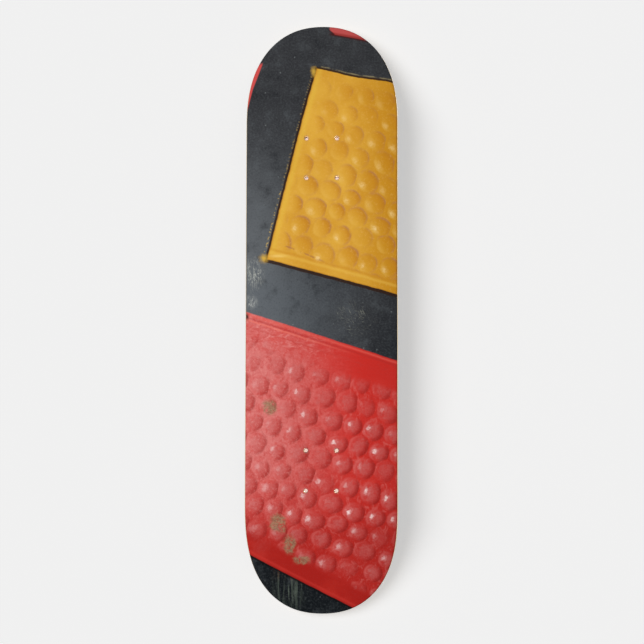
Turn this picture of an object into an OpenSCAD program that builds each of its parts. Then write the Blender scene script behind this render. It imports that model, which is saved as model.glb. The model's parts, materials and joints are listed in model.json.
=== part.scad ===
// Double-kick skateboard deck: seven maple veneers pressed into one curved board,
// a printed film fused under it and grip tape stuck on top of it.
//
// Riding orientation: +X towards the nose, +Y to the left, +Z up. The origin is
// under the middle of the deck's length, on the surface that the flat of the
// deck rests on. All sizes are in millimetres.

/* [Outline] */
// Width of the deck between its straight sides
deck_w = 206.4; // [190:0.1:230]
// Level distance from the nose's outer bolt holes to the nose tip
nose_reach = 169; // [160:1:185]
// Level distance from the tail's outer bolt holes to the tail tip
tail_reach = 165; // [155:1:180]
// Exponent along the nose: a larger one keeps the nose wide for longer
nose_fullness = 2.84; // [2.2:0.02:3.2]
// Exponent along the tail
tail_fullness = 2.62; // [2.2:0.02:3.2]
// Exponent across the nose: a larger one squares the tip off
nose_squareness = 2.15; // [2:0.05:2.4]
// Exponent across the tail
tail_squareness = 2.1; // [2:0.05:2.4]

/* [Truck bolt holes] */
// Distance between the two inner rows of bolt holes
wheelbase = 368.3; // [340:0.1:390]
// Distance between the two rows of one truck, along the deck
bolt_pitch_x = 53.975; // [53.975]
// Distance between the two holes of a row, across the deck
bolt_pitch_y = 41.275; // [41.275]
// Diameter of a bolt hole, drilled for a No. 10 screw
hole_d = 5.56; // [5:0.02:6.4]
// Diameter that the grip tape is pierced to over each bolt hole
grip_hole_d = 4.8; // [4.7:0.05:6.4]

/* [Concave and kicks] */
// Width of the flat strip along the middle, where the trucks sit
flat_w = 60; // [56:1:80]
// Radius of the arc that each side curves up on, at the underside
rail_r = 250; // [180:5:400]
// Flat length left outside the outer bolt holes before a kick starts to bend
kick_gap = 14; // [13:1:20]
// Radius of the bend, at the underside
kick_bend_r = 120; // [100:5:150]
// Rise of the nose and tail over their run: 44 in 117 is an angle of 20.6 degrees
kick_rise = 44; // [34:1:50]
// Level run that goes with the rise
kick_run = 117; // [110:1:124]

/* [Layers] */
// Thickness of the printed film
film_t = 0.25; // [0.2:0.05:0.4]
// Thickness of the two outer veneers
face_veneer_t = 1.5; // [1.2:0.05:1.7]
// Thickness of the three inner veneers with grain along the deck
core_veneer_t = 1.6; // [1.3:0.05:1.8]
// Thickness of the two veneers with grain across the deck
cross_veneer_t = 1.4; // [1.2:0.05:1.6]
// Thickness of the grip tape with its grit
grip_t = 0.9; // [0.7:0.05:1.2]
// Radius that rounds the wooden edge off, above and below
edge_r = 3; // [1.5:0.5:4]
// Strip of bare maple left outside the film and the grip tape
bare_margin = 1.5; // [1.2:0.1:3]

/* [Fineness] */
// Straight steps along a quarter of each rounded end
outline_steps = 30; // [12:2:48]

/* [Hidden] */
$fn = 96;

half_w = deck_w / 2;
bolt_span = wheelbase + 2 * bolt_pitch_x;
deck_l = bolt_span + nose_reach + tail_reach;

kick_angle = atan2(kick_rise, kick_run);

// Where things are along the deck
tail_bolts_x = tail_reach - deck_l / 2;
nose_bolts_x = deck_l / 2 - nose_reach;
tail_bend_x = tail_bolts_x - kick_gap;
nose_bend_x = nose_bolts_x + kick_gap;

// Each side is an arc that leaves the flat strip at a tangent
rail_w = half_w - flat_w / 2;

// The layers from the bottom up: thickness, then height of each one's underside
THICKNESS = [film_t, face_veneer_t, core_veneer_t, cross_veneer_t, core_veneer_t,
             cross_veneer_t, core_veneer_t, face_veneer_t, grip_t];
function height_under(layer) = layer == 0 ? 0 : THICKNESS[layer - 1] + height_under(layer - 1);
film_layer = 0;
bottom_face_layer = 1;
lower_core_layer = 2;
lower_cross_layer = 3;
centre_core_layer = 4;
upper_cross_layer = 5;
upper_core_layer = 6;
top_face_layer = 7;
grip_layer = 8;
wood_bottom = height_under(bottom_face_layer);
wood_top = height_under(grip_layer);
stack_t = wood_top + grip_t;

// Height of the top edge along the straight sides
side_top = rail_r - sqrt(pow(rail_r - stack_t, 2) - pow(rail_w, 2));

// Room that the cutting shapes run past the wood, in millimetres and in degrees
spare = 5;
spare_angle = 3;

// How far the rounded edge draws a veneer in from the outline, at its mid-thickness,
// to the nearest twentieth of a millimetre
function veneer_inset(layer) =
    let (middle = height_under(layer) + THICKNESS[layer] / 2,
         depth = min(middle - wood_bottom, wood_top - middle),
         inset = edge_r - sqrt(pow(edge_r, 2) - pow(edge_r - min(depth, edge_r), 2)))
    round(inset * 20) / 20;

function layer_inset(layer) =
    layer == film_layer || layer == grip_layer ? bare_margin : veneer_inset(layer);

// One point of a superellipse of half-length a and half-width half_w, moved in by
// inset. The angle runs from 0 at the tip to 90 at the full width.
function rim_point(a, fullness, squareness, inset, angle) =
    let (u = a * pow(cos(angle), 2 / fullness),
         v = half_w * pow(sin(angle), 2 / squareness),
         slope_u = fullness * pow(u / a, fullness - 1) / a,
         slope_v = squareness * pow(v / half_w, squareness - 1) / half_w,
         size = norm([slope_u, slope_v]))
    [u - inset * slope_u / size, v - inset * slope_v / size];

// Outline of one kick in its own flat plane, where x is 0 at the end of the bend.
// The sides stay straight until they are clear of the plane where the bend starts.
function kick_outline(length, fullness, squareness, inset) =
    let (straight_x = -(kick_bend_r - side_top) * sin(kick_angle),
         a = length - straight_x,
         back_x = -kick_bend_r * sin(kick_angle + spare_angle) - spare,
         side = [for (i = [0 : outline_steps])
                     let (p = rim_point(a, fullness, squareness, inset, 90 * i / outline_steps))
                     [straight_x + p[0], p[1]]])
    concat(side,
           [[back_x, half_w - inset], [back_x, inset - half_w]],
           [for (i = [outline_steps : -1 : 1]) [side[i][0], -side[i][1]]]);

// Length of the straight part of a kick
function kick_length(reach) =
    (reach - kick_gap - kick_bend_r * sin(kick_angle)) / cos(kick_angle);

// Cross-section of the layer between heights low and high: across in x, up in y
module section(low, high) {
    translate([-flat_w / 2, low]) square([flat_w, high - low]);
    for (side = [-1, 1])
        translate([side * flat_w / 2, rail_r])
            intersection() {
                difference() {
                    circle(r = rail_r - low);
                    circle(r = rail_r - high);
                }
                translate([side > 0 ? 0 : -rail_w - spare, -rail_r - spare])
                    square([rail_w + spare, rail_r]);
            }
}

// The layer's section drawn out along X
module straight_run(from_x, to_x, low, high) {
    translate([from_x, 0, 0])
        rotate([90, 0, 90])
            linear_extrude(to_x - from_x) section(low, high);
}

// The layer's section swept back through the bend from x = 0, and a little too far
module bend(low, high) {
    translate([0, 0, kick_bend_r])
        rotate([0, 90, 0]) rotate([90, 0, 0])
            rotate_extrude(angle = -kick_angle - spare_angle)
                translate([kick_bend_r, 0]) rotate(90) section(low, high);
}

// One kick, lying flat: bend and straight part, trimmed square to its own plane
module flat_kick(reach, fullness, squareness, low, high, inset) {
    length = kick_length(reach);
    intersection() {
        union() {
            bend(low, high);
            straight_run(0, length + spare, low, high);
        }
        translate([0, 0, -spare])
            linear_extrude(kick_bend_r)
                polygon(kick_outline(length, fullness, squareness, inset));
    }
}

// One kick, tilted up about the middle of its bend's arc, and cut off plumb where
// the flat middle of the deck begins
module kick(bend_x, reach, fullness, squareness, low, high, inset) {
    intersection() {
        translate([bend_x, 0, kick_bend_r])
            rotate([0, -kick_angle, 0])
                translate([0, 0, -kick_bend_r])
                    flat_kick(reach, fullness, squareness, low, high, inset);
        translate([bend_x, -deck_w, -spare])
            cube([reach + spare, 2 * deck_w, kick_bend_r]);
    }
}

// The straight-sided middle of the deck
module middle(low, high, inset) {
    intersection() {
        straight_run(tail_bend_x, nose_bend_x, low, high);
        translate([tail_bend_x - spare, inset - half_w, -spare])
            cube([nose_bend_x - tail_bend_x + 2 * spare, 2 * (half_w - inset), kick_bend_r]);
    }
}

// The eight bolt holes, a rectangle of four at each end of the wheelbase
module bolt_holes(diameter) {
    for (x = [tail_bolts_x, tail_bolts_x + bolt_pitch_x,
              nose_bolts_x - bolt_pitch_x, nose_bolts_x],
         y = [-bolt_pitch_y / 2, bolt_pitch_y / 2])
        translate([x, y, -spare]) cylinder(d = diameter, h = stack_t + 2 * spare);
}

// One whole layer of the deck
module pressed_layer(layer) {
    low = height_under(layer);
    high = low + THICKNESS[layer];
    inset = layer_inset(layer);
    difference() {
        union() {
            middle(low, high, inset);
            kick(nose_bend_x, nose_reach, nose_fullness, nose_squareness, low, high, inset);
            mirror([1, 0, 0])
                kick(-tail_bend_x, tail_reach, tail_fullness, tail_squareness,
                     low, high, inset);
        }
        bolt_holes(layer == grip_layer ? grip_hole_d : hole_d);
    }
}

// Printed film, fused to the underside under heat
module graphic_film() { color("#34383d") pressed_layer(film_layer); }

// Outer veneer under the film, grain along the deck
module bottom_face_veneer() { color("#e3c695") pressed_layer(bottom_face_layer); }

// Inner veneers, grain along the deck
module lower_core_veneer() { color("#dcbc88") pressed_layer(lower_core_layer); }
module centre_core_veneer() { color("#dcbc88") pressed_layer(centre_core_layer); }
module upper_core_veneer() { color("#dcbc88") pressed_layer(upper_core_layer); }

// Cross veneers, grain across the deck
module lower_cross_veneer() { color("#c9a36c") pressed_layer(lower_cross_layer); }
module upper_cross_veneer() { color("#c9a36c") pressed_layer(upper_cross_layer); }

// Outer veneer that carries the grip tape
module top_face_veneer() { color("#e3c695") pressed_layer(top_face_layer); }

// Grip tape: grit on an adhesive sheet, pierced over the bolt holes
module grip_tape() { color("#1d1e20") pressed_layer(grip_layer); }

graphic_film();
bottom_face_veneer();
lower_core_veneer();
lower_cross_veneer();
centre_core_veneer();
upper_cross_veneer();
upper_core_veneer();
top_face_veneer();
grip_tape();
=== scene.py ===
"""A bare skateboard deck seen from below: printed film, seven maple veneers and grip tape."""
import json
import math

import bpy
import bmesh
from mathutils import Matrix, Vector, geometry


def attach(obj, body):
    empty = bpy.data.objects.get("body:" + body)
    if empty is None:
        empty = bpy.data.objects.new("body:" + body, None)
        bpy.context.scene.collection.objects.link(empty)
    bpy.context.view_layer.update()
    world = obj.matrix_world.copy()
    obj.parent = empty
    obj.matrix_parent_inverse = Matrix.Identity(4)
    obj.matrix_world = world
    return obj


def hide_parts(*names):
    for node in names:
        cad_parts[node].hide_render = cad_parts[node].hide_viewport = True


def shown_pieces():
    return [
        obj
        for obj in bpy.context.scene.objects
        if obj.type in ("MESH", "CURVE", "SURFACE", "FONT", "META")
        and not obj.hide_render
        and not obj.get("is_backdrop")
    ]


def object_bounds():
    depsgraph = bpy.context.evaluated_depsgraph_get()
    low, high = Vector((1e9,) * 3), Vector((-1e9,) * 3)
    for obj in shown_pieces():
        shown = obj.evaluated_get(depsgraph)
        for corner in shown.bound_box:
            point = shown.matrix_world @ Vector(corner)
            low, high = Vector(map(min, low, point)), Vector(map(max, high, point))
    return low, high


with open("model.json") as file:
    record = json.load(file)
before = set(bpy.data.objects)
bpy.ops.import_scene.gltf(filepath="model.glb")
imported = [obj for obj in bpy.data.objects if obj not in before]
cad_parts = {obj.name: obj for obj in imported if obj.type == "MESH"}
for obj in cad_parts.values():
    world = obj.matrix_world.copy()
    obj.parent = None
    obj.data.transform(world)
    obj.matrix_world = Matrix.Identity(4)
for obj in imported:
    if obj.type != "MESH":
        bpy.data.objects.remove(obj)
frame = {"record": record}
cad_low, cad_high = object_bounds()

# --- The deck's pressed shape, in millimetres, as the CAD model has it ---
MM = 0.001
NOSE, TAIL = 1, -1
HALF_W = 103.2              # half the width of the deck
FLAT_HALF = 30              # half the flat strip along the middle
RAIL_R = 250                # radius that the sides are pressed up to
BEND_R = 120                # radius of the bend into each kick
KICK_RISE, KICK_RUN = 44, 117
KICK_ANGLE = math.atan2(KICK_RISE, KICK_RUN)
BEND_START = {NOSE: 250.125, TAIL: 254.125}     # from the middle of the deck's length
KICK_LENGTH = {NOSE: 120.5, TAIL: 116.2}        # the straight part of each kick
FULLNESS = {NOSE: 2.84, TAIL: 2.62}             # exponent along each end's outline
SQUARENESS = {NOSE: 2.15, TAIL: 2.1}            # exponent across it
SIDE_TOP = 23.27            # height of the top edge along the straight sides
NARROWING_X = -(BEND_R - SIDE_TOP) * math.sin(KICK_ANGLE)   # where the outline starts to narrow
FILM_TOP = 0.25             # heights above the underside: of the film,
STACK_TOP = 10.85           # of the wood
GRIP_TOP = 11.75            # and of the grip tape
EDGE_R = 3                  # rounding of the wooden edge, above and below

HOLE_R = 2.78               # of a bolt hole
GRIP_HOLE_R = 2.4           # the grip tape is pierced only as wide as the screw
mounts = {mount["name"]: mount for mount in frame["record"]["mounts"]}
HOLES = []
for mount_name in ("nose_truck_bolts", "tail_truck_bolts"):
    bolts = mounts[mount_name]
    for end in (NOSE, TAIL):
        for side in (1, -1):
            HOLES.append((bolts["pos_m"][0] / MM + end * bolts["dims"]["spacing_x_mm"] / 2,
                          side * bolts["dims"]["spacing_y_mm"] / 2))


def section_z(y, height):
    """Height of the surface that lies height above the underside, at y across the deck."""
    out = max(abs(y) - FLAT_HALF, 0)
    return RAIL_R - math.sqrt((RAIL_R - height) ** 2 - out ** 2)


def place(along, y, height):
    """A point of that surface. along is measured on the underside: flat, bend, then kick."""
    z = section_z(y, height)
    end = NOSE if along > 0 else TAIL
    past = abs(along) - BEND_START[end]
    if past <= 0:
        return Vector((along, y, z)) * MM
    turn = min(past / BEND_R, KICK_ANGLE)
    straight = past - turn * BEND_R
    arm = BEND_R - z
    x = BEND_START[end] + arm * math.sin(turn) + straight * math.cos(turn)
    z = BEND_R - arm * math.cos(turn) + straight * math.sin(turn)
    return Vector((end * x, y, z)) * MM


def end_outline(end, angle, inset):
    """(x from the end of the bend, y) on the rounded end of the outline, moved in by inset."""
    length = KICK_LENGTH[end] - NARROWING_X
    fullness, squareness = FULLNESS[end], SQUARENESS[end]
    u = length * math.cos(angle) ** (2 / fullness)
    v = HALF_W * math.sin(angle) ** (2 / squareness)
    slope = Vector((fullness * (u / length) ** (fullness - 1) / length,
                    squareness * (v / HALF_W) ** (squareness - 1) / HALF_W)).normalized()
    return NARROWING_X + u - inset * slope.x, v - inset * slope.y


FINE_STEPS = 4000           # steps that a rounded end's length is measured in
TIP_ANGLE = 1e-9            # stands for 0, the angle of the tip


def even_angles(end, step):
    """Angles of the rounded end, from its side to its tip, that lie step apart on the outline."""
    fine = [math.pi / 2 * (1 - i / FINE_STEPS) for i in range(FINE_STEPS + 1)]
    points = [Vector(end_outline(end, max(angle, TIP_ANGLE), 0)) for angle in fine]
    run = [0]
    for before, after in zip(points, points[1:]):
        run.append(run[-1] + (after - before).length)
    count = round(run[-1] / step)
    angles, index = [], 0
    for i in range(count):
        while run[index] < run[-1] * i / count:
            index += 1
        angles.append(fine[index])
    return angles + [TIP_ANGLE]


RIM_STEP = 4                # distance between points of the outline
SIDE_MARGIN = 4             # the straight sides stop this short of the bends
ANGLES = {end: even_angles(end, RIM_STEP) for end in (NOSE, TAIL)}


def along_of(end, x, y, height):
    """Where a point of the kick's own plan, x past the end of the bend, lies along the deck."""
    if x >= 0:
        return BEND_START[end] + BEND_R * KICK_ANGLE + x
    arm = BEND_R - section_z(y, height)
    return BEND_START[end] + BEND_R * (KICK_ANGLE - math.asin(-x / arm))


def rim(inset, height):
    """The deck's outline moved in by inset, as (along, y) points running round it once."""
    def end_points(end):
        upper = []
        for angle in ANGLES[end]:
            x, y = end_outline(end, angle, inset)
            upper.append((end * along_of(end, x, y, height), y))
        return upper + [(along, -y) for along, y in reversed(upper[:-1])]

    start, stop = -BEND_START[TAIL] + SIDE_MARGIN, BEND_START[NOSE] - SIDE_MARGIN
    count = round((stop - start) / RIM_STEP)
    side = [start + (stop - start) * i / count for i in range(count + 1)]
    nose, tail = end_points(NOSE), end_points(TAIL)
    edge_y = HALF_W - inset
    return ([(along, edge_y) for along in side] + nose
            + [(along, -edge_y) for along in reversed(side)] + list(reversed(tail)))


def on_sheet(along, y, margin):
    """True if the point lies inside the outline by at least margin."""
    end = NOSE if along > 0 else TAIL
    length = KICK_LENGTH[end] - NARROWING_X
    u = abs(along) - BEND_START[end] - BEND_R * KICK_ANGLE - NARROWING_X + margin
    if u >= length:
        return False
    reach = (1 - (max(u, 0) / length) ** FULLNESS[end]) ** (1 / SQUARENESS[end])
    return abs(y) <= HALF_W * reach - margin


def circle(centre, radius, count):
    return [(centre[0] + radius * math.cos(2 * math.pi * i / count),
             centre[1] + radius * math.sin(2 * math.pi * i / count)) for i in range(count)]


# --- Each layer is a closed solid: two surfaces, a moulded rim and the walls of eight holes ---
HOLE_SEGMENTS = 32
HOLE_RINGS = (1.5, 2.6)     # radii of the finer rings round a hole, in hole radii
SHEET_REACH = 420           # farther along than either end of the deck
RIM_GAP = 0.6               # how far the points stay from the rim, in spacings
FINE, COARSE = 5, 12        # spacing of points on a face that shows, and on one that doesn't
SHARP_ANGLE = math.radians(28)      # edges that turn by more than this stay crisp
INSIDE_LOOPS = 1            # the triangulation's way of filling only between its loops
MERGE_WITHIN = 1e-6         # millimetres


def sheet_points(spacing, inset):
    """Staggered points over the sheet, with finer rings round the holes."""
    points = []
    row_step = spacing * math.sqrt(3) / 2
    rows = int(HALF_W / row_step)
    reach = int(SHEET_REACH / spacing)
    near_hole = HOLE_R * HOLE_RINGS[-1]
    for row in range(-rows, rows + 1):
        y = row * row_step
        for column in range(-reach, reach + 1):
            along = (column + 0.5 * (row % 2)) * spacing
            clear = all(math.hypot(along - x, y - hole_y) > near_hole + 0.5 * spacing
                        for x, hole_y in HOLES)
            if clear and on_sheet(along, y, inset + RIM_GAP * spacing):
                points.append((along, y))
    for hole in HOLES:
        for ring in HOLE_RINGS:
            points += circle(hole, HOLE_R * ring, HOLE_SEGMENTS // 2)
    return points


def surface(bm, rim_verts, rim_plan, hole_verts, hole_plan, hole_radius, height, spacing, inset):
    """Fills one face of a layer between its rim and its holes."""
    plan, verts, edges = [], [], []
    for loop_plan, loop_verts in zip([rim_plan] + hole_plan, [rim_verts] + hole_verts):
        first = len(plan)
        plan += loop_plan
        verts += loop_verts
        edges += [(first + i, first + (i + 1) % len(loop_plan)) for i in range(len(loop_plan))]
    for along, y in sheet_points(spacing, inset):
        plan.append((along, y))
        verts.append(bm.verts.new(place(along, y, height)))
    found = geometry.delaunay_2d_cdt([Vector(p) for p in plan], edges, [],
                                     INSIDE_LOOPS, MERGE_WITHIN)
    source = [ids[0] for ids in found[3]]
    for face in found[2]:
        centre = sum((Vector(plan[source[i]]) for i in face), Vector((0, 0))) / len(face)
        if all((centre - Vector(hole)).length > hole_radius for hole in HOLES):
            bm.faces.new([verts[source[i]] for i in face])


def ring_of_quads(bm, low, high):
    for i in range(len(low)):
        after = (i + 1) % len(low)
        bm.faces.new((low[i], low[after], high[after], high[i]))


def layer(name, rim_levels, hole_levels, spacing):
    """A layer whose rim runs through (inset, height) levels and its holes through (radius,
    height) ones. spacing is that of the points on its first face and on its last."""
    bm = bmesh.new()
    rims = []
    for inset, height in rim_levels:
        plan = rim(inset, height)
        rims.append((plan, [bm.verts.new(place(*point, height)) for point in plan]))
    for (_, low), (_, high) in zip(rims, rims[1:]):
        ring_of_quads(bm, low, high)
    walls = []
    for hole in HOLES:
        rings = []
        for radius, height in hole_levels:
            plan = circle(hole, radius, HOLE_SEGMENTS)
            rings.append((plan, [bm.verts.new(place(*point, height)) for point in plan]))
        for (_, low), (_, high) in zip(rings, rings[1:]):
            ring_of_quads(bm, low, high)
        walls.append(rings)
    for level in (0, -1):
        inset, height = rim_levels[level]
        surface(bm, rims[level][1], rims[level][0], [w[level][1] for w in walls],
                [w[level][0] for w in walls], hole_levels[level][0], height, spacing[level], inset)
    bmesh.ops.recalc_face_normals(bm, faces=bm.faces)
    mesh = bpy.data.meshes.new(name)
    bm.to_mesh(mesh)
    bm.free()
    mesh.shade_smooth()
    mesh.set_sharp_from_angle(angle=SHARP_ANGLE)
    piece = bpy.data.objects.new(name, mesh)
    bpy.context.scene.collection.objects.link(piece)
    return piece


def rounding(height):
    """How far the wooden edge is rounded back at that height above the underside."""
    depth = min(height - FILM_TOP, STACK_TOP - height)
    return 0 if depth >= EDGE_R else EDGE_R - math.sqrt(EDGE_R ** 2 - (EDGE_R - depth) ** 2)


GLUE_GROOVE = 0.1           # depth and half the height of the line between two veneers
ROUNDING_STEP = 15          # degrees between levels on the rounded edge
LEAST_STEP = 0.05           # a level of the rounding closer than this to a groove is left out


def veneer(name, low, high):
    """One veneer, with the rounded edge running through it and a fine groove at each glue line."""
    steps = [EDGE_R - EDGE_R * math.cos(math.radians(angle))
             for angle in range(ROUNDING_STEP, 91, ROUNDING_STEP)]
    bends = [FILM_TOP + step for step in steps] + [STACK_TOP - step for step in steps]
    inner = [low + GLUE_GROOVE, high - GLUE_GROOVE]
    heights = sorted(inner + [h for h in bends
                              if inner[0] + LEAST_STEP < h < inner[1] - LEAST_STEP])
    rims = [(rounding(h), h) for h in heights]
    rims = [(rounding(low) + GLUE_GROOVE, low)] + rims + [(rounding(high) + GLUE_GROOVE, high)]
    holes = [(HOLE_R + GLUE_GROOVE / 2, low), (HOLE_R, inner[0]),
             (HOLE_R, inner[1]), (HOLE_R + GLUE_GROOVE / 2, high)]
    return layer(name, rims, holes, (COARSE, COARSE))


def wrap(radius, angle, centre_height, up):
    """A level on an arc about the centre of the edge's rounding, angle degrees from flat."""
    turn = math.radians(angle)
    return EDGE_R - radius * math.sin(turn), centre_height + up * radius * math.cos(turn)


FILM_WRAP = (0, 9, 18, 27, 36, 44)      # degrees round the lower edge
GRIP_WRAP = (0, 8, 15, 21)              # degrees round the upper edge
GRIP_FILED = 32                         # where the filed edge of the tape meets the wood
# How a hole's edge is eased, as (widening, height above the underside)
FILM_EASING = ((0.16, 0), (0.05, 0.1), (0, FILM_TOP))
GRIP_EASING = ((0, STACK_TOP), (0, GRIP_TOP - 0.35), (0.12, GRIP_TOP - 0.12), (0.4, GRIP_TOP))


def film_piece():
    """The printed film, drawn tight over the start of the rounded edge."""
    centre = FILM_TOP + EDGE_R
    outer = [wrap(EDGE_R + FILM_TOP, a, centre, -1) for a in FILM_WRAP]
    inner = [wrap(EDGE_R, a, centre, -1) for a in reversed(FILM_WRAP)]
    holes = [(HOLE_R + wider, height) for wider, height in FILM_EASING]
    return layer("printed_film", outer + inner, holes, (FINE, COARSE))


def grip_piece():
    """The grip tape, turned over the upper edge and filed off to a bevel."""
    centre = STACK_TOP - EDGE_R
    angles = list(GRIP_WRAP) + [GRIP_FILED]
    under = [wrap(EDGE_R, a, centre, 1) for a in angles]
    over = [wrap(EDGE_R + GRIP_TOP - STACK_TOP, a, centre, 1) for a in reversed(GRIP_WRAP)]
    holes = [(GRIP_HOLE_R + wider, height) for wider, height in GRIP_EASING]
    return layer("grip_sheet", under + over, holes, (COARSE, FINE))


# --- Materials ---
def tone(red, green, blue):
    """A colour given as display values from 0 to 255."""
    def linear(value):
        value /= 255
        return value / 12.92 if value <= 0.04045 else ((value + 0.055) / 1.055) ** 2.4
    return (linear(red), linear(green), linear(blue), 1)


class Pattern:
    """A material's node tree, built up as formulas. Places are in millimetres."""

    def __init__(self, name):
        self.material = bpy.data.materials.new(name)
        self.material.use_nodes = True
        self.tree = self.material.node_tree
        self.shader = self.tree.nodes["Principled BSDF"]
        place_mm = self.node("VectorMath", [self.node("TexCoord").outputs["Object"]],
                             operation="SCALE")
        place_mm.inputs["Scale"].default_value = 1 / MM
        self.place = place_mm.outputs[0]
        self.x, self.y = self.node("SeparateXYZ", [self.place]).outputs[:2]

    def node(self, kind, values=(), **settings):
        made = self.tree.nodes.new("ShaderNode" + kind)
        for key, value in settings.items():
            setattr(made, key, value)
        for index, value in enumerate(values):
            self.feed(made.inputs[index], value)
        return made

    def feed(self, socket, value):
        if isinstance(value, bpy.types.NodeSocket):
            self.tree.links.new(value, socket)
        else:
            socket.default_value = value

    def math(self, operation, *values):
        return self.node("Math", values, operation=operation).outputs[0]

    def linear(self, value, slope, start):
        """value * slope + start."""
        return self.math("MULTIPLY_ADD", value, slope, start)

    def add(self, a, b):
        return self.math("ADD", a, b)

    def chain(self, operation, values):
        """The values joined by one operation, from the first to the last."""
        result = values[0]
        for value in values[1:]:
            result = self.math(operation, result, value)
        return result

    def times(self, *values):
        return self.chain("MULTIPLY", values)

    def least(self, *values):
        return self.chain("MINIMUM", values)

    def most(self, *values):
        return self.chain("MAXIMUM", values)

    def rise(self, value, low, high):
        """0 at low, 1 at high and smooth between them. low may be the larger."""
        made = self.node("MapRange", [value, low, high], interpolation_type="SMOOTHSTEP")
        return made.outputs["Result"]

    def ridge(self, value, centre, half_width):
        """1 at centre, falling to 0 half_width away on both sides."""
        return self.rise(self.math("ABSOLUTE", self.add(value, -centre)), half_width, 0)

    def mix(self, share, a, b):
        """a where share is 0 and b where it is 1."""
        made = self.node("Mix", data_type="RGBA")
        for socket, value in zip((made.inputs[0], made.inputs[6], made.inputs[7]), (share, a, b)):
            self.feed(socket, value)
        return made.outputs[2]

    def lay(self, base, colour, *shares):
        """Lays a colour over base, as strongly as the product of the shares says."""
        return self.mix(self.times(*shares), base, colour)

    def combine(self, x, y):
        return self.node("CombineXYZ", [x, y]).outputs[0]

    def length(self, vector):
        return self.node("VectorMath", [vector], operation="LENGTH").outputs["Value"]

    def turned(self, where, angle):
        """A place as it reads once the pattern on it is turned by an angle in degrees."""
        made = self.node("Mapping", [where])
        made.inputs["Rotation"].default_value = (0, 0, math.radians(-angle))
        return made.outputs[0]

    def noise(self, size, detail=2, roughness=0.5, where=None, distortion=0.0, shift=0.0):
        """Cloudy noise from 0 to 1 with features about size across, or (x, y, z) sizes."""
        sizes = size if isinstance(size, tuple) else (size, size, size)
        scaled = self.node("Mapping", [where or self.place])
        scaled.inputs["Location"].default_value = (shift, shift * 0.7, shift * 0.4)
        scaled.inputs["Scale"].default_value = [1 / s for s in sizes]
        made = self.node("TexNoise", [scaled.outputs[0]])
        made.inputs["Scale"].default_value = 1
        made.inputs["Detail"].default_value = detail
        made.inputs["Roughness"].default_value = roughness
        made.inputs["Distortion"].default_value = distortion
        return made.outputs[0]

    def cells(self, size, where=None, dimensions="3D"):
        """A Voronoi node with cells about size across."""
        scaled = self.node("VectorMath", [where or self.place], operation="SCALE")
        scaled.inputs["Scale"].default_value = 1 / size
        made = self.node("TexVoronoi", voronoi_dimensions=dimensions)
        self.feed(made.inputs["Vector"], scaled.outputs[0])
        made.inputs["Scale"].default_value = 1
        return made

    def bump(self, height, depth_mm, after=None):
        made = self.node("Bump")
        made.inputs["Strength"].default_value = 1
        made.inputs["Distance"].default_value = depth_mm * MM
        self.feed(made.inputs["Height"], height)
        if after is not None:
            self.feed(made.inputs["Normal"], after)
        return made.outputs[0]

    def finish(self, colour, roughness, normal, specular):
        self.feed(self.shader.inputs["Base Color"], colour)
        self.feed(self.shader.inputs["Roughness"], roughness)
        self.feed(self.shader.inputs["Normal"], normal)
        self.shader.inputs["Specular IOR Level"].default_value = specular
        return self.material


# The print: two padded panels on dark leather. Places on it are (across, along) in millimetres,
# seen from below with the tail up: across to the right, along to the nose.
YELLOW_TOP_LEFT = (-7.6, -340.5)
YELLOW_BOTTOM_LEFT = (-73.7, -75.6)
YELLOW_TOP_RIGHT = (96, -321)
YELLOW_BOTTOM_RIGHT = (101.5, -29)
RED_TOP = ((-97.4, -3.3), (101.3, 61))
RED_BOTTOM = ((-96.5, 323.3), (40.8, 394.7))
SLIVER = ((-102.3, -280), (-95.5, -311), (-82.6, -349))    # along its edge, towards the tail
BLOB_EDGE = ((13, -392.4), (60, -383.2))
SOIL_PATCHES = (((-58, 280), 17, 19), ((-42, 308), 12, 19),     # centre, half across, half along
                ((-26, 330), 16, 9), ((-70, 125), 14, 15))
DOME_DRIFTS = ((110, 13), (26, 2.5))    # (size, push) of the drifts that move rows of domes


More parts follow.
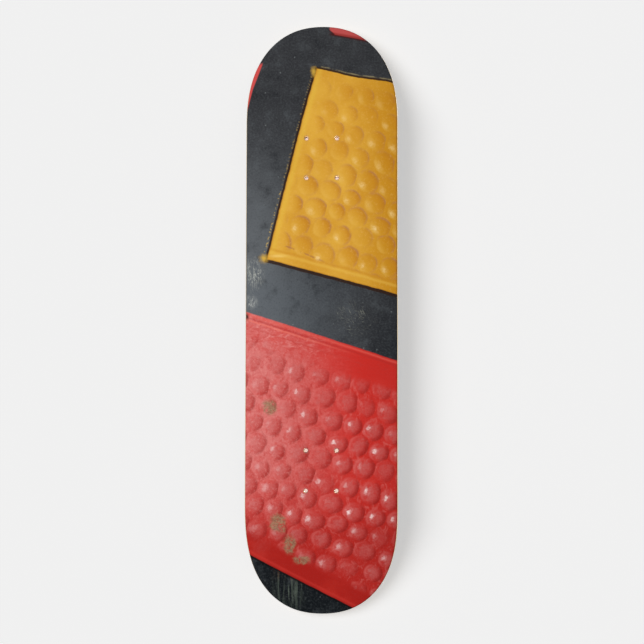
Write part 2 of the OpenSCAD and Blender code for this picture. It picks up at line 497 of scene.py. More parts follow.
class Print(Pattern):
    """The film's picture, with distances from lines and rows of domes."""

    def __init__(self, name):
        super().__init__(name)
        self.across = self.times(self.y, -1.0)
        self.along = self.x
        self.plan = self.combine(self.across, self.along)

    def streaks(self, along_size, across_size, angle, shift):
        """Cloudy noise drawn out at an angle to the across direction."""
        turned = self.turned(self.plan, angle)
        return self.noise((along_size, across_size, 10), 3, 0.65, turned, 0.3, shift)

    def bolt_distance(self):
        """Distance from the nearest bolt hole's middle."""
        rows = sorted({x for x, _ in HOLES})
        offsets = [self.math("ABSOLUTE", self.add(self.x, -row)) for row in rows]
        beyond = self.add(self.math("ABSOLUTE", self.y), -abs(HOLES[0][1]))
        return self.length(self.combine(self.least(*offsets), beyond))

    def beside(self, start, stop):
        """Distance from the line from start to stop, positive on its right as one goes along it."""
        run, fall = stop[0] - start[0], stop[1] - start[1]
        length = math.hypot(run, fall)
        a, b = -fall / length, run / length
        part = self.linear(self.across, a, -(a * start[0] + b * start[1]))
        return self.linear(self.along, b, part)

    def patch(self, centre, half_across, half_along, ragged=0.0):
        """A soft oval patch, 1 in its middle."""
        u = self.linear(self.across, 1 / half_across, -centre[0] / half_across)
        v = self.linear(self.along, 1 / half_along, -centre[1] / half_along)
        away = self.math("SQRT", self.add(self.times(u, u), self.times(v, v)))
        if ragged:
            away = self.add(away, self.times(self.add(self.noise(9, 3, 0.7), -0.5), ragged))
        return self.rise(away, 1, 0)

    def vector(self, operation, *values):
        return self.node("VectorMath", values, operation=operation).outputs[0]

    def dome_grid(self, where, pitch, row_step, slip, stray, seed):
        """Every other row of a honeycomb of domes: the way from the nearest one, and its chances."""
        size = (pitch, 2 * row_step, 0)
        scaled = self.vector("MULTIPLY_ADD", where, (1 / size[0], 1 / size[1], 0), (slip, slip, 0))
        cell = self.vector("FLOOR", scaled)
        chance = self.node("TexWhiteNoise", noise_dimensions="3D")
        self.feed(chance.inputs["Vector"], self.vector("ADD", cell, (seed, slip, seed)))
        chance = chance.outputs["Color"]
        middle = self.vector("SUBTRACT", self.vector("SUBTRACT", scaled, cell), (0.5, 0.5, 0))
        strayed = self.vector("MULTIPLY", self.vector("SUBTRACT", chance, (0.5, 0.5, 0)),
                              (stray, 1.3 * stray, 0))
        return self.vector("SUBTRACT", self.vector("MULTIPLY", middle, size), strayed), chance

    def domes(self, pitch, row_step, radius, stray, lean, lit, highlight, seed):
        """A honeycomb of padded domes, each up to about half of stray out of its place and lit
        from one side. Gives what shades each part of a dome."""
        moved = self.plan
        for size, push in DOME_DRIFTS:
            drift = self.node("TexNoise", [self.plan], noise_dimensions="2D")
            drift.inputs["Scale"].default_value = 1 / size
            drift.inputs["Detail"].default_value = 1
            drift = self.vector("SUBTRACT", drift.outputs["Color"], (0.5, 0.5, 0.5))
            moved = self.vector("MULTIPLY_ADD", drift, (push, push, 0), moved)
        where = self.turned(moved, lean)
        first, first_chance = self.dome_grid(where, pitch, row_step, 0.0, stray, seed)
        second, second_chance = self.dome_grid(where, pitch, row_step, 0.5, stray, seed)
        first_far, second_far = self.length(first), self.length(second)
        nearer = self.math("LESS_THAN", second_far, first_far)
        local = self.mix(nearer, first, second)
        chance = self.node("SeparateXYZ", [self.mix(nearer, first_chance, second_chance)]).outputs
        own_radius = self.linear(chance[2], 0.2 * radius, 0.9 * radius)
        share = self.math("DIVIDE", self.least(first_far, second_far), own_radius)
        parts = self.node("SeparateXYZ", [local]).outputs
        u, v = (self.math("DIVIDE", part, own_radius) for part in parts[:2])
        angle = math.radians(lit - lean)
        toward = self.linear(u, math.cos(angle), self.times(v, math.sin(angle)))
        aside = self.linear(v, math.cos(angle), self.times(u, -math.sin(angle)))
        meeting = self.math("ABSOLUTE", self.math("SUBTRACT", first_far, second_far))
        clear = self.rise(meeting, 0, 3.5)
        crumple = self.times(self.add(self.noise(5, 2, 0.6, self.plan, 0.8, seed), -0.5), 2.4)

        def spot(offset, half_toward, half_aside):
            a = self.times(self.add(toward, -offset), 1 / half_toward)
            b = self.times(aside, 1 / half_aside)
            away = self.add(self.add(self.times(a, a), self.times(b, b)), crumple)
            return self.rise(away, 1, 0)

        return {"body": self.times(self.rise(share, 1.08, 0.84), clear),
                "crown": spot(-0.15, 0.85, 0.9),
                "shade": self.times(self.rise(toward, 0.0, -0.9), self.rise(share, 1.22, 0.98),
                                    self.rise(share, 0.4, 0.96), clear),
                "crease": self.times(self.rise(meeting, 2.6, 0), self.rise(share, 1.25, 0.95)),
                "glow": spot(highlight, 0.45, 0.56),
                "glint": spot(highlight + 0.02, 0.24, 0.34),
                "brow": self.times(self.ridge(share, 0.88, 0.26), self.rise(toward, 0.1, 0.9),
                                   clear),
                "rim": self.times(self.ridge(share, 1.0, 0.09), self.rise(toward, -0.4, -0.95)),
                "toward": toward, "share": share, "chance": chance}


def leather(p):
    """Dark grained leather, nearly black at the nose, greyer to the left by a painted sheen."""
    # Painted sheen: the leather lighter towards the left, as where the lacquer catches light from
    # the left.
    left = p.times(p.rise(p.across, 20, -100), p.rise(p.along, -290, -60), p.rise(p.along, 70, 0))
    middle = p.times(p.rise(p.along, -90, -20), p.rise(p.along, 70, 30), p.rise(p.across, 110, -60))
    base = p.mix(left, tone(50, 51, 54), tone(95, 99, 103))
    base = p.lay(base, tone(90, 96, 102), middle, 0.5)
    # Painted shade: the leather darker towards the right.
    base = p.lay(base, tone(30, 33, 38), p.rise(p.across, 30, 95), p.rise(p.along, -60, 30), 0.7)
    base = p.lay(base, tone(8, 14, 19), p.rise(p.along, 250, 330))
    cloud = p.noise(26, 4, 0.6, p.plan)
    base = p.lay(base, tone(100, 106, 110), p.rise(cloud, 0.5, 0.75), 0.24)
    base = p.lay(base, tone(26, 28, 32), p.rise(cloud, 0.5, 0.25), 0.55)
    grain = p.noise(2.6, 3, 0.65, p.plan)
    base = p.lay(base, tone(98, 104, 106), p.rise(grain, 0.45, 0.75), 0.25)
    return p.lay(base, tone(14, 15, 17), p.rise(grain, 0.48, 0.25), 0.35)


def worn_leather(p, base):
    """Chalky scuffs, specks and fine scratches on the leather."""
    grit = p.noise(2.2, 4, 0.75, p.plan)
    smear = p.noise((4, 10, 4), 5, 0.75, p.plan, 1.5)
    corner = p.times(p.patch((-92, -56), 19, 30), p.rise(smear, 0.46, 0.68))
    base = p.lay(base, tone(186, 188, 180), corner, 0.95)
    edge = p.times(p.patch((-95, -18), 12, 14), p.rise(smear, 0.42, 0.62))
    base = p.lay(base, tone(176, 178, 174), edge, 0.8)
    streak = p.noise((7, 3, 7), 5, 0.7, p.plan, 2.0, 9)
    middle = p.times(p.patch((44, 6), 46, 34), p.rise(streak, 0.54, 0.72))
    base = p.lay(base, tone(156, 156, 142), middle, 0.6)
    scratches = p.times(p.patch((38, 0), 34, 26), p.rise(p.streaks(16, 1.4, 62, 8), 0.6, 0.72))
    base = p.lay(base, tone(178, 178, 158), scratches, 0.55)
    drips = p.noise((2.6, 44, 2.6), 4, 0.7, p.plan, 0.25, 4)
    nose = p.times(p.patch((-44, 366), 32, 46), p.rise(drips, 0.47, 0.66), p.rise(grit, 0.25, 0.5))
    rust = p.mix(p.rise(p.along, 362, 346), tone(104, 114, 102), tone(124, 92, 66))
    base = p.lay(base, rust, nose, 0.75)
    dust = p.cells(19, where=p.plan, dimensions="2D")
    chance = p.node("SeparateColor", [dust.outputs["Color"]]).outputs[0]
    size = p.times(p.rise(chance, 0.7, 1.0), 0.08)
    away = p.add(dust.outputs["Distance"], p.times(p.add(grit, -0.5), 0.12))
    speck = p.rise(p.math("SUBTRACT", size, away), 0, 0.06)
    return p.lay(base, tone(140, 146, 146), speck, 0.4)


def yellow_surround(p, ground, left, top, bottom):
    """The leather next to the yellow panel: a dark seam, stitches and a scrap at two corners."""
    seam = p.times(p.rise(p.least(left, p.add(bottom, 1.3)), -3.8, -2.4), p.rise(top, -3.5, -1))
    ground = p.lay(ground, tone(48, 28, 18), seam, 0.92)
    pale_line = p.times(p.ridge(top, -4.0, 1.7), p.rise(left, 2, 8), p.rise(p.noise(7), 0.3, 0.6))
    ground = p.lay(ground, tone(152, 138, 100), pale_line, 0.75)
    seam_line = p.times(p.ridge(top, -2.0, 1.5), p.rise(left, 0, 3))
    ground = p.lay(ground, tone(60, 40, 22), seam_line, 0.8)
    beads = p.rise(p.noise((3.2, 2.6, 3.2), 2, 0.6, p.plan, 0.0, 7), 0.5, 0.62)
    lower = p.rise(p.along, -260, -90)
    beads = p.times(beads, p.rise(bottom, -6, -2), p.rise(top, -5, 0),
                    p.ridge(p.linear(lower, 1.3, left), -4.0, 1.9))
    ground = p.lay(ground, tone(190, 160, 88), beads, p.linear(lower, 0.6, 0.35))
    blot = p.most(p.patch((-78, -77), 9, 9, 1.0), p.patch((-12, -336), 6.5, 11, 1.0))
    return p.lay(ground, tone(206, 164, 62), blot)


def yellow_padding(p, left, top, bottom):
    """Soft yellow padding with shallow domes."""
    d = p.domes(pitch=30, row_step=27.5, radius=12.9, stray=4.4, lean=14, lit=152,
                highlight=0.6, seed=3.0)
    broad = p.noise(46, 2, 0.5, p.plan)
    padding = p.mix(p.rise(broad, 0.3, 0.7), tone(210, 152, 46), tone(221, 168, 60))
    padding = p.lay(padding, tone(198, 134, 14), p.rise(p.across, 20, 105), 0.76)
    field = p.times(p.rise(left, 8, 28), p.rise(top, 6, 24), p.rise(bottom, 12, 20))
    bold = p.rise(p.along, -300, -120)
    firm = p.times(field, p.linear(p.rise(d["chance"][0], 0.0, 0.5), 0.55, 0.45),
                   p.linear(bold, 0.3, 0.7))
    dome = p.times(d["body"], firm)
    padding = p.lay(padding, tone(230, 184, 84), dome, p.rise(d["toward"], 0.1, 0.9), 0.4)
    padding = p.lay(padding, tone(196, 128, 22), dome, p.rise(d["toward"], 0.4, -0.9), 0.68)
    padding = p.lay(padding, tone(172, 110, 44), d["shade"], firm, 0.34)
    worn = p.rise(p.noise(12, 2, 0.6, p.plan, 0.0, 5), 0.35, 0.6)
    padding = p.lay(padding, tone(160, 106, 88), d["rim"], firm, worn, 0.5)
    ring = p.times(p.ridge(d["share"], 1.04, 0.24), p.rise(d["toward"], 0.9, -0.3), firm, worn)
    padding = p.lay(padding, tone(180, 118, 84), ring, p.linear(bold, 0.32, 0.08))
    padding = p.lay(padding, tone(178, 120, 92), d["crease"], firm, 0.28)
    patchy = p.rise(p.streaks(2.6, 4.2, 100, 3), 0.3, 0.55)
    lit = p.times(firm, p.rise(d["chance"][1], 0.15, 0.9))
    strong = p.linear(p.rise(p.along, -190, -60), 0.6, 0.35)
    padding = p.lay(padding, tone(232, 190, 108), d["glow"], lit, 0.5)
    padding = p.lay(padding, tone(246, 214, 150), d["glint"], lit, patchy, strong)
    mottle = p.noise(3.5, 3, 0.7, p.plan, 0.0, 2)
    padding = p.lay(padding, tone(230, 184, 104), p.rise(mottle, 0.5, 0.8), 0.35)
    return p.lay(padding, tone(190, 128, 40), p.rise(mottle, 0.45, 0.2), 0.3)


def yellow_edges(p, padding, left, bottom):
    """Light and folds along the yellow panel's left and lower edges."""
    tuck = p.times(p.ridge(p.linear(p.across, 0.14, bottom), 17, 2.2), p.rise(p.across, 8, -4),
                   p.rise(p.across, -58, -46),
                   p.rise(p.noise(6, 2, 0.6, p.plan, 0.0, 6), 0.42, 0.58))
    padding = p.lay(padding, tone(158, 98, 72), tuck, 0.6)
    corner_light = p.patch((-58, -80), 20, 3.5, 0.4)
    padding = p.lay(padding, tone(242, 206, 116), corner_light, 0.7)
    rim_light = p.times(p.ridge(left, 5, 6), p.rise(bottom, 4, 14))
    padding = p.lay(padding, tone(226, 184, 66), rim_light, 0.45)
    padding = p.lay(padding, tone(198, 134, 36), p.ridge(bottom, 15, 3), 0.4)
    padding = p.lay(padding, tone(228, 182, 74), p.ridge(bottom, 10.5, 3.2), 0.5)
    return p.lay(padding, tone(190, 128, 30), p.rise(p.least(left, bottom), 2.5, 0), 0.55)


def yellow_panel(p, ground):
    """The yellow panel and what lies round it, between edges that waver a little."""
    wave = p.times(p.add(p.noise(13, 2, 0.6, p.plan), -0.5), 2.0)
    left = p.add(p.beside(YELLOW_BOTTOM_LEFT, YELLOW_TOP_LEFT), wave)
    sag = p.times(p.ridge(p.across, 46, 52), -3.0)
    top = p.add(p.add(p.beside(YELLOW_TOP_LEFT, YELLOW_TOP_RIGHT), wave), sag)
    bottom = p.add(p.beside(YELLOW_BOTTOM_RIGHT, YELLOW_BOTTOM_LEFT), wave)
    inside = p.least(left, top, bottom)
    ground = yellow_surround(p, ground, left, top, bottom)
    padding = yellow_edges(p, yellow_padding(p, left, top, bottom), left, bottom)
    return p.lay(ground, padding, p.rise(inside, -0.7, 0.7))


def red_padding(p, top, bottom, left_sheen, broad, mottle):
    """Firm red padding with bold domes, paler and pinker to the left by a painted sheen."""
    d = p.domes(pitch=29.5, row_step=27, radius=13.2, stray=5.6, lean=14, lit=204,
                highlight=0.45, seed=11.0)
    skin = p.noise((8, 11, 8), 3, 0.6, p.plan, 1.0, 4)
    # Painted sheen, broken into patches: the padding paler and pinker towards the left.
    patchy_left_sheen = p.times(left_sheen, p.linear(p.rise(skin, 0.36, 0.6), 0.4, 0.6),
                          p.linear(p.rise(top, 10, 70), 0.35, 0.65))
    padding = p.mix(patchy_left_sheen, tone(199, 43, 36), tone(214, 124, 120))
    padding = p.lay(padding, tone(172, 32, 26), p.rise(p.along, 160, 330), 0.7)
    padding = p.lay(padding, tone(214, 62, 52), p.rise(broad, 0.5, 0.75), 0.4)
    field = p.times(p.rise(top, 34, 48), p.rise(bottom, 22, 36))
    left_field = p.times(p.rise(top, 20, 36), p.rise(p.across, -60, -85))
    field = p.most(field, p.times(left_field, 0.8))
    firm = p.times(field, p.linear(p.rise(d["chance"][0], 0.0, 0.4), 0.65, 0.35))
    firm = p.times(firm, p.linear(p.rise(top, 40, 110), 0.35, 0.65))
    crinkle = p.noise(2.0, 3, 0.8, p.plan, 1.5, 8)
    milk = p.linear(p.rise(mottle, 0.3, 0.65), 0.35, 0.35)
    valley = p.times(p.rise(d["share"], 0.95, 1.12), firm)
    padding = p.lay(padding, tone(196, 78, 74), valley, left_sheen, 0.3)
    padding = p.lay(padding, tone(222, 124, 118), p.rise(skin, 0.52, 0.68), field, 0.28)
    padding = p.lay(padding, tone(168, 38, 36), p.rise(skin, 0.46, 0.32), field, 0.3)
    padding = p.lay(padding, tone(200, 76, 72), d["body"], firm, 0.3)
    padding = p.lay(padding, tone(192, 100, 97), d["crown"], firm, milk)
    away = p.rise(d["toward"], 0.2, -0.8)
    deep = p.linear(left_sheen, -0.3, 1.0)
    padding = p.lay(padding, tone(182, 46, 42), d["body"], away, firm, deep, 0.62)
    padding = p.lay(padding, tone(148, 24, 20), d["shade"], firm, deep, 0.74)
    padding = p.lay(padding, tone(160, 30, 26), d["crease"], firm, 0.4)
    padding = p.lay(padding, tone(118, 18, 20), d["rim"], firm, 0.15)
    padding = p.lay(padding, tone(218, 116, 112), d["brow"], firm, 0.34)
    smear = p.rise(p.streaks(4.2, 1.8, 115, 5), 0.34, 0.56)
    lit = p.times(firm, p.rise(d["chance"][1], 0.1, 0.95))
    padding = p.lay(padding, tone(220, 144, 142), d["glow"], lit, 0.55)
    sheen = p.times(p.rise(p.across, -110, 10), p.linear(smear, 0.7, 0.3),
                    p.linear(p.rise(p.along, 310, 255), 0.65, 0.35))
    padding = p.lay(padding, tone(253, 228, 224), d["glint"], lit, sheen)
    padding = p.lay(padding, tone(220, 128, 122), p.rise(crinkle, 0.52, 0.7), field, 0.2)
    padding = p.lay(padding, tone(156, 34, 32), p.rise(crinkle, 0.46, 0.3), field, 0.25)
    padding = p.lay(padding, tone(224, 146, 140), p.rise(mottle, 0.48, 0.72), left_sheen, 0.5)
    return p.lay(padding, tone(164, 34, 30), p.rise(mottle, 0.48, 0.2), 0.3)


def red_bands(p, padding, top, bottom, left_sheen, broad):
    """The smooth bands along the red panel's upper and lower edges, with their folds."""
    band = p.rise(bottom, 34, 20)
    padding = p.lay(padding, tone(166, 28, 22), band, 0.75)
    padding = p.lay(padding, tone(192, 44, 34), band, p.rise(broad, 0.45, 0.65), 0.4)
    creases = p.noise((15, 6, 15), 3, 0.6, p.plan, 1.4, 6)
    upper_band = p.times(p.rise(top, 1, 5), p.rise(top, 48, 22))
    padding = p.lay(padding, tone(232, 152, 146), p.rise(creases, 0.52, 0.68), upper_band, left_sheen,
                    0.5)
    padding = p.lay(padding, tone(184, 50, 46), p.rise(creases, 0.48, 0.3), upper_band, 0.45)
    padding = p.lay(padding, tone(226, 96, 84), p.ridge(top, 3, 2.5), 0.5)
    padding = p.lay(padding, tone(178, 44, 40), p.ridge(top, 7, 2.2), 0.55)
    padding = p.lay(padding, tone(232, 120, 104), p.ridge(top, 10, 2.0), p.rise(p.across, 60, -60),
                    0.6)
    padding = p.lay(padding, tone(188, 62, 56), p.ridge(top, 19, 2.2), p.rise(p.across, 90, -20),
                    0.4)
    return p.lay(padding, tone(200, 52, 44), p.ridge(bottom, 4, 3), 0.5)


def soiled(p, padding, mottle):
    """Four patches of dried soil on the red panel."""
    soil = p.noise(8, 5, 0.85, p.plan, 0.8, 3)
    patches = p.most(*(p.patch(*oval, ragged=0.9) for oval in SOIL_PATCHES))
    crust = p.mix(p.rise(mottle, 0.35, 0.65), tone(128, 98, 76), tone(162, 136, 104))
    return p.lay(padding, crust, p.rise(patches, 0.0, 0.6), p.rise(soil, 0.38, 0.54), 0.85)


def red_panel(p, ground):
    """The red panel and the dark line under it, between edges that waver a little."""
    wave = p.times(p.add(p.noise(22, 2, 0.6, p.plan), -0.5), 1.6)
    top = p.add(p.beside(*RED_TOP), wave)
    bottom = p.add(p.beside(*reversed(RED_BOTTOM)), wave)
    inside = p.least(top, bottom)
    ground = p.lay(ground, tone(8, 6, 8), p.rise(bottom, -3.6, -1.4), p.rise(bottom, 8, 0), 0.9)
    # Painted sheen: the red panel paler and pinker towards the left, as where the lacquer catches
    # light from the left.
    left_sheen = p.times(p.rise(p.across, 60, -100), p.rise(p.along, 330, 180))
    broad = p.noise((60, 40, 60), 3, 0.55, p.plan)
    mottle = p.noise(3.2, 4, 0.75, p.plan, 0.0, 2)
    padding = red_padding(p, top, bottom, left_sheen, broad, mottle)
    padding = red_bands(p, padding, top, bottom, left_sheen, broad)
    padding = soiled(p, padding, mottle)
    notch = p.times(p.rise(p.across, -97, -101), p.ridge(top, 6, 7))
    padding = p.lay(padding, tone(58, 30, 30), notch)
    return p.lay(ground, padding, p.rise(inside, -0.8, 0.8))


def tail_corners(p, ground):
    """Two red shapes that run off the outline at the tail."""
    sliver = p.least(p.beside(*SLIVER[:2]), p.beside(*SLIVER[1:]))
    sliver = p.times(p.rise(sliver, 0.8, -0.8), p.rise(p.across, 0, -20),
                     p.rise(p.along, -352, -346), p.rise(p.along, -240, -280))
    ground = p.lay(ground, tone(204, 76, 74), sliver)
    lower_edge = p.beside(*BLOB_EDGE)
    blob_end = p.add(p.across, p.times(p.rise(lower_edge, -7, 0), -7.0))
    blob = p.times(p.rise(lower_edge, 0.8, -0.8), p.rise(blob_end, 8, 11))
    shadow = p.times(p.rise(lower_edge, 3.6, 0.5), p.rise(p.across, 7, 14))
    ground = p.lay(ground, tone(66, 14, 14), shadow, 0.8)
    red = p.mix(p.rise(lower_edge, -1, -5), tone(152, 52, 48), tone(188, 78, 76))
    return p.lay(ground, red, blob)


def film_material():
    """A photograph-like print under clear lacquer, with the maple's grain just telling through."""
    p = Print("printed_film_gloss")
    colour = worn_leather(p, leather(p))
    colour = tail_corners(p, red_panel(p, yellow_panel(p, colour)))
    dots = p.noise(0.9, 1, 0.5, p.plan)
    colour = p.lay(colour, tone(255, 255, 255), p.rise(dots, 0.6, 0.8), 0.05)
    # Painted shade: a greyish ring round each bolt hole, where the hole's shaded wall shows.
    colour = p.lay(colour, tone(150, 130, 120), p.rise(p.bolt_distance(), 5.0, 3.0), 0.28)
    rough = p.linear(p.noise(30, 4, 0.6), 0.16, 0.38)
    grain = p.noise((90, 1.6, 1.6), 3, 0.6)
    peel = p.noise(2.2, 2, 0.5)
    normal = p.bump(peel, 0.02, p.bump(grain, 0.05))
    return p.finish(colour, rough, normal, specular=0.35)


def maple(name, pale, dark, lengthwise):
    """Clear hard maple seen at its edge: lines of grain along a veneer, pores across it."""
    p = Pattern(name)
    line = (70, 1.1, 0.5) if lengthwise else (1.1, 70, 0.5)
    grain = p.noise(line, 4, 0.6, distortion=0.4)
    flecks = p.noise((9, 1.4, 0.35) if lengthwise else (1.4, 9, 0.35), 2, 0.7)
    broad = p.noise((120, 30, 4), 2, 0.5)
    colour = p.mix(p.rise(grain, 0.3, 0.72), pale, dark)
    colour = p.lay(colour, dark, p.rise(broad, 0.4, 0.75), 0.4)
    colour = p.lay(colour, tone(150, 104, 62), p.rise(flecks, 0.6, 0.78), 0.45)
    rough = p.linear(grain, 0.2, 0.5)
    return p.finish(colour, rough, p.bump(p.add(grain, flecks), 0.06), specular=0.3)


def grip_material():
    """Black silicon-carbide grit, painted glints on rare grains, and a little dust in the hollows.
    """
    p = Pattern("grip_tape_grit")
    grit = p.cells(0.62)
    coarse = p.cells(1.5)
    chance = p.node("SeparateColor", [grit.outputs["Color"]]).outputs
    cloud = p.noise((70, 45, 30), 4, 0.6)
    colour = p.mix(p.rise(cloud, 0.35, 0.7), tone(27, 27, 29), tone(39, 39, 41))
    colour = p.lay(colour, tone(84, 85, 90), p.rise(chance[0], 0.75, 1.0), 0.5)
    # Painted glints: rare grains made pale, as though catching the light.
    colour = p.lay(colour, tone(168, 170, 176), p.rise(chance[1], 0.985, 0.995))
    dust = p.noise((14, 9, 9), 5, 0.75, distortion=1.0)
    colour = p.lay(colour, tone(130, 126, 120), p.rise(dust, 0.55, 0.8), 0.16)
    rough = p.linear(chance[2], -0.35, 0.85)
    heights = p.add(grit.outputs["Distance"], p.times(coarse.outputs["Distance"], 0.8))
    return p.finish(colour, rough, p.bump(heights, 0.35), specular=0.4)


# --- Pieces ---
face_maple = maple("maple_face_grain", tone(246, 230, 200), tone(230, 206, 166), True)
core_maple = maple("maple_core_grain", tone(240, 220, 184), tone(222, 194, 148), True)
cross_maple = maple("maple_cross_grain", tone(214, 182, 138), tone(188, 150, 104), False)

# (node in the CAD model, bottom, top, material, slot), heights above the underside
VENEERS = (
    ("bottom_face_veneer", 0.25, 1.75, face_maple, "maple_face"),
    ("lower_core_veneer", 1.75, 3.35, core_maple, "maple_core"),
    ("lower_cross_veneer", 3.35, 4.75, cross_maple, "maple_cross"),
    ("centre_core_veneer", 4.75, 6.35, core_maple, "maple_core"),
    ("upper_cross_veneer", 6.35, 7.75, cross_maple, "maple_cross"),
    ("upper_core_veneer", 7.75, 9.35, core_maple, "maple_core"),
    ("top_face_veneer", 9.35, 10.85, face_maple, "maple_face"),
)


def fit(piece, node, material):
    """Gives a piece its material and puts it in the place of its CAD node."""
    piece.data.materials.append(material)
    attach(piece, "root")
    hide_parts(node)


for node, low, high, material, slot in VENEERS:
    fit(veneer(node.replace("veneer", "ply"), low, high), node, material)
film = film_piece()
film.visible_diffuse = False    # so that the print lit from below doesn't tint the floor
fit(film, "graphic_film", film_material())
fit(grip_piece(), "grip_tape", grip_material())


# --- Stage: a pale wall over the deck, seen from below, and a pale floor, seen from above ---
def backdrop_material(name, glow, albedo):
    """A pale surface with a soft shadow, that is only seen from its front."""
    material = bpy.data.materials.new(name)
    material.use_nodes = True
    nodes, links = material.node_tree.nodes, material.node_tree.links
    nodes.clear()
    diffuse = nodes.new("ShaderNodeBsdfDiffuse")
    diffuse.inputs["Color"].default_value = (albedo, albedo, albedo, 1)
    light = nodes.new("ShaderNodeEmission")
    light.inputs["Color"].default_value = (glow, glow, glow, 1)
    both = nodes.new("ShaderNodeAddShader")
    links.new(diffuse.outputs[0], both.inputs[0])
    links.new(light.outputs[0], both.inputs[1])
    clear = nodes.new("ShaderNodeBsdfTransparent")
    side = nodes.new("ShaderNodeNewGeometry")
    mix = nodes.new("ShaderNodeMixShader")
    links.new(side.outputs["Backfacing"], mix.inputs[0])
    links.new(both.outputs[0], mix.inputs[1])
    links.new(clear.outputs[0], mix.inputs[2])
    links.new(mix.outputs[0], nodes.new("ShaderNodeOutputMaterial").inputs[0])
    return material


BACKDROP_HALF = 40          # metres
WALL_GAP = 0.002            # from the kicks' tips to the wall
FLOOR_GAP = 0.0005          # from the underside to the floor


def backdrop(name, z, facing, glow, albedo):
    """A wide square at height z, facing up (1) or down (-1), that only the camera sees."""
    half = BACKDROP_HALF
    corners = [(-half, -half, z), (half, -half, z), (half, half, z), (-half, half, z)]
    mesh = bpy.data.meshes.new(name)
    mesh.from_pydata(corners, [], [(0, 1, 2, 3) if facing > 0 else (3, 2, 1, 0)])
    mesh.materials.append(backdrop_material(name + "_paint", glow, albedo))
    sheet = bpy.data.objects.new(name, mesh)
    bpy.context.scene.collection.objects.link(sheet)
    sheet.visible_diffuse = sheet.visible_glossy = False
    sheet.visible_transmission = sheet.visible_shadow = False
    sheet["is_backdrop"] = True
    return sheet


wall = backdrop("wall", cad_high.z + WALL_GAP, -1, glow=0.50, albedo=0.66)
backdrop("floor", cad_low.z - FLOOR_GAP, 1, glow=0.45, albedo=0.72)


# --- Light ---
WORLD_LIGHT = 0.12          # how bright the world is as a light
PALE = 0.86                 # and as the camera sees it
LAMP_LENGTH, LAMP_WIDTH = 0.56, 0.09    # a hidden lamp reaches over both groups of holes
LAMP_HEIGHT = 0.045                     # between the deck's middle and the kicks' tips


def world_light():
    """A white world, brighter to the camera than as a light."""
    world = bpy.data.worlds.new("studio")
    bpy.context.scene.world = world
    world.use_nodes = True
    nodes, links = world.node_tree.nodes, world.node_tree.links
    background = nodes["Background"]
    seen = nodes.new("ShaderNodeLightPath")
    strength = nodes.new("ShaderNodeMapRange")
    strength.inputs["To Min"].default_value = WORLD_LIGHT
    strength.inputs["To Max"].default_value = PALE
    links.new(seen.outputs["Is Camera Ray"], strength.inputs["Value"])
    links.new(strength.outputs["Result"], background.inputs["Strength"])
    background.inputs["Color"].default_value = (1, 1, 1, 1)


def sun(name, towards, strength, spread, only=None, glossy=True):
    """A soft sun shining towards a direction. only limits it to some pieces."""
    data = bpy.data.lights.new(name, "SUN")
    data.energy = strength * math.pi
    data.angle = math.radians(spread)
    lamp = bpy.data.objects.new(name, data)
    bpy.context.scene.collection.objects.link(lamp)
    lamp.rotation_mode = "QUATERNION"
    lamp.rotation_quaternion = Vector(towards).to_track_quat("-Z", "Y")
    lamp.visible_glossy = glossy
    if only:
        lamp.light_linking.receiver_collection = only


def hidden_lamp(name, facing, power, spread, colour, only):
    """An unseen lamp over the deck's middle that faces the wall (1) or the deck (-1) and lights
    only one collection. It brightens what shows in the bolt holes."""
    data = bpy.data.lights.new(name, "AREA")
    data.shape = "RECTANGLE"
    data.size, data.size_y = LAMP_LENGTH, LAMP_WIDTH
    data.spread = math.radians(spread)
    data.energy = power
    data.color = colour
    lamp = bpy.data.objects.new(name, data)
    bpy.context.scene.collection.objects.link(lamp)
    lamp.location = (0, 0, LAMP_HEIGHT)
    lamp.rotation_euler = (math.pi if facing > 0 else 0, 0, 0)
    lamp.visible_camera = lamp.visible_glossy = False
    lamp.light_linking.receiver_collection = only


def group(name, members):
    """A collection that a lamp can be limited to."""
    made = bpy.data.collections.new(name)
    for member in members:
        made.objects.link(member)
    return made


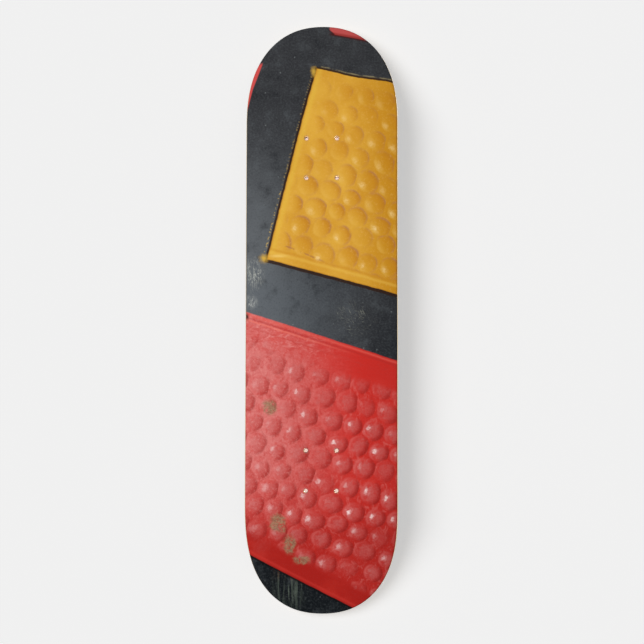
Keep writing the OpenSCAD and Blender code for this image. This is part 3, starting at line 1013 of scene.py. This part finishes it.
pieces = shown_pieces()
plies = [piece for piece in pieces if piece.name.endswith("_ply")]
deck = group("deck", pieces)
underside = group("underside", [piece for piece in pieces if piece.name in (
    "printed_film", "bottom_face_ply", "lower_core_ply")])
edges = group("edges", plies)
bores = group("bores", [piece for piece in plies if piece.name != "top_face_ply"])
behind = group("behind", [wall])

world_light()
hidden_lamp("wall_lamp", 1, 0.088, 30, (1, 0.3, 0.04), behind)
hidden_lamp("bore_lamp", -1, 1.0, 60, (1, 0.92, 0.82), bores)
sun("low_key", (0.18, -0.62, 0.78), 0.58, 42, glossy=False)
sun("low_fill", (0, 0, 1), 0.46, 12, underside, glossy=False)
sun("edge_light", (0, 1, 0.15), 0.7, 20, edges, glossy=False)
sun("top_key", (0.35, 0.45, -0.82), 0.55, 25)
sun("top_fill", (-0.3, -0.2, -1), 0.35, 40, deck)
bpy.context.scene.view_settings.view_transform = "Standard"


# --- Camera: almost squarely below the deck, a long lens, the tail at the top of the picture ---
CAMERA_DISTANCE = 2.4
LENS, SENSOR_WIDTH = 99.63, 36          # millimetres
CAMERA_TILT = math.radians(3.56)        # the nose is a little nearer
CAMERA_SWING = math.radians(1.5)        # the right side is a little nearer
CAMERA_ROLL = math.radians(0.12)        # about the line of sight
CAMERA_AIM = Vector((0.0095, -0.00085, 0))

camera_data = bpy.data.cameras.new("camera")
camera_data.sensor_width = SENSOR_WIDTH
camera_data.lens = LENS
camera_data.clip_end = 200
camera = bpy.data.objects.new("camera", camera_data)
bpy.context.scene.collection.objects.link(camera)
bpy.context.scene.camera = camera
forward = Vector((-math.sin(CAMERA_TILT), 0, math.cos(CAMERA_TILT)))
up = Vector((-math.cos(CAMERA_TILT), 0, -math.sin(CAMERA_TILT)))
tilted = Matrix((forward.cross(up), up, -forward)).transposed().to_4x4()
turn = Matrix.Rotation(-CAMERA_SWING, 4, "X") @ tilted @ Matrix.Rotation(CAMERA_ROLL, 4, "Z")
away = turn.to_3x3() @ Vector((0, 0, CAMERA_DISTANCE))
camera.matrix_world = Matrix.Translation(CAMERA_AIM + away) @ turn
